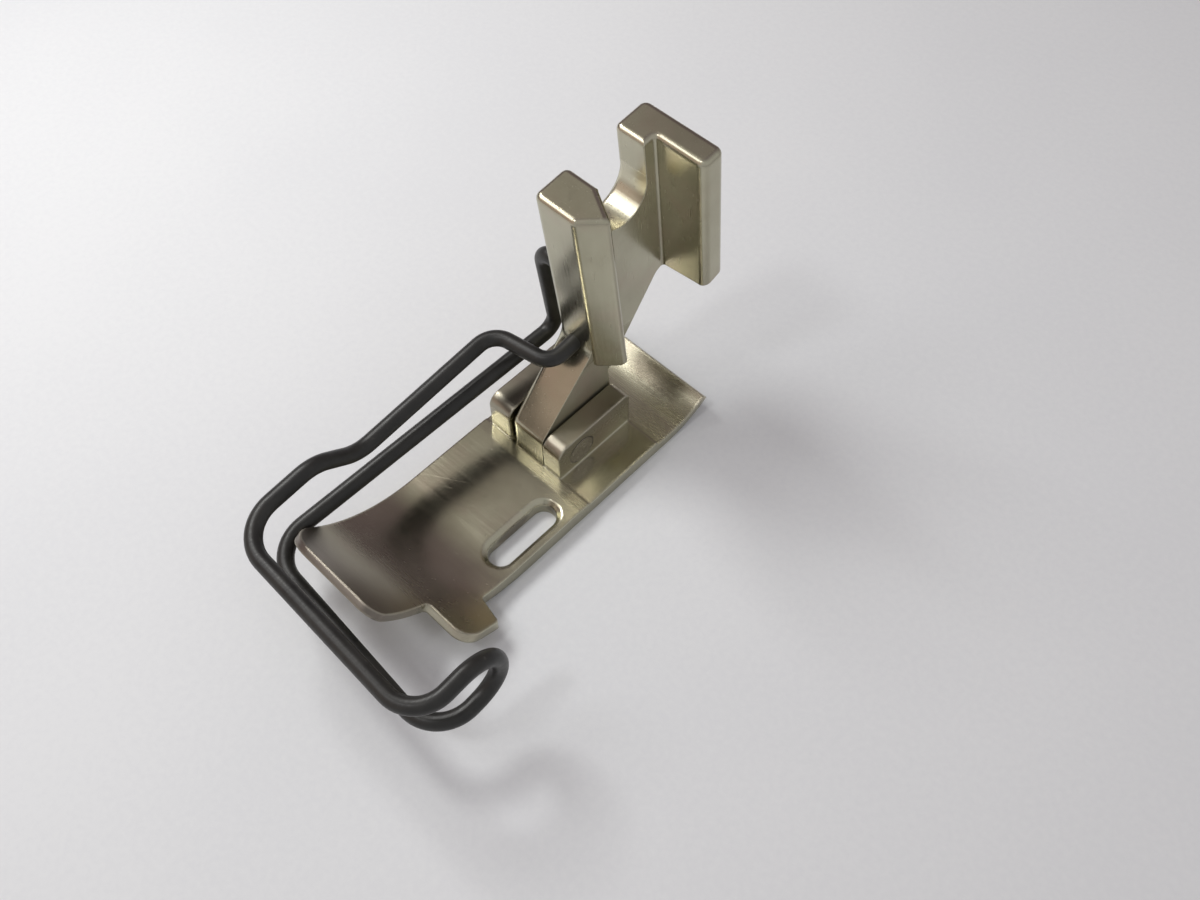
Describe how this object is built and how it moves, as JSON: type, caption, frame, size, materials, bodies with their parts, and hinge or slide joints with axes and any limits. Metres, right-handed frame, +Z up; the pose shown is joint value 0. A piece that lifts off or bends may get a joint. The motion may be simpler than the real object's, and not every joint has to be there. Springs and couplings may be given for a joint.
{
  "type": "hinged presser foot",
  "caption": "Sewing machine presser foot: a steel shank with a clamp notch, hinged on a sole with a curled toe and a needle slot, and a bent wire finger guard.",
  "frame": {"origin": "on the underside of the sole, in the middle of its width and straight below the hinge pin", "axes": "+X to the right, towards the needle slot, +Y from the toe to the tail, +Z up"},
  "size_m": [0.0231, 0.0443, 0.0303],
  "materials": {
    "nickel_plate": "satin nickel plate over ground steel, with fine scratches",
    "pin_steel": "plain steel, peened and ground flush",
    "spring_steel": "drawn spring wire",
    "black_oxide": "black oxide on steel wire, semi-gloss"
  },
  "bodies": {
    "sole": {"sole": "nickel_plate", "hinge_pin": "pin_steel"},
    "shank": {"shank": "nickel_plate", "finger_guard": "black_oxide", "hinge_spring": "spring_steel"}
  },
  "joints": [
    {"name": "foot_hinge", "type": "hinge", "parent": "sole", "child": "shank", "pos_m": [0, 0, 0.0032], "axis": [-1, 0, 0], "range_deg": [0, 16], "stiffness_Nm_per_rad": 0.0055, "springref_deg": -51.57, "deforming": ["hinge_spring"]}
  ]
}
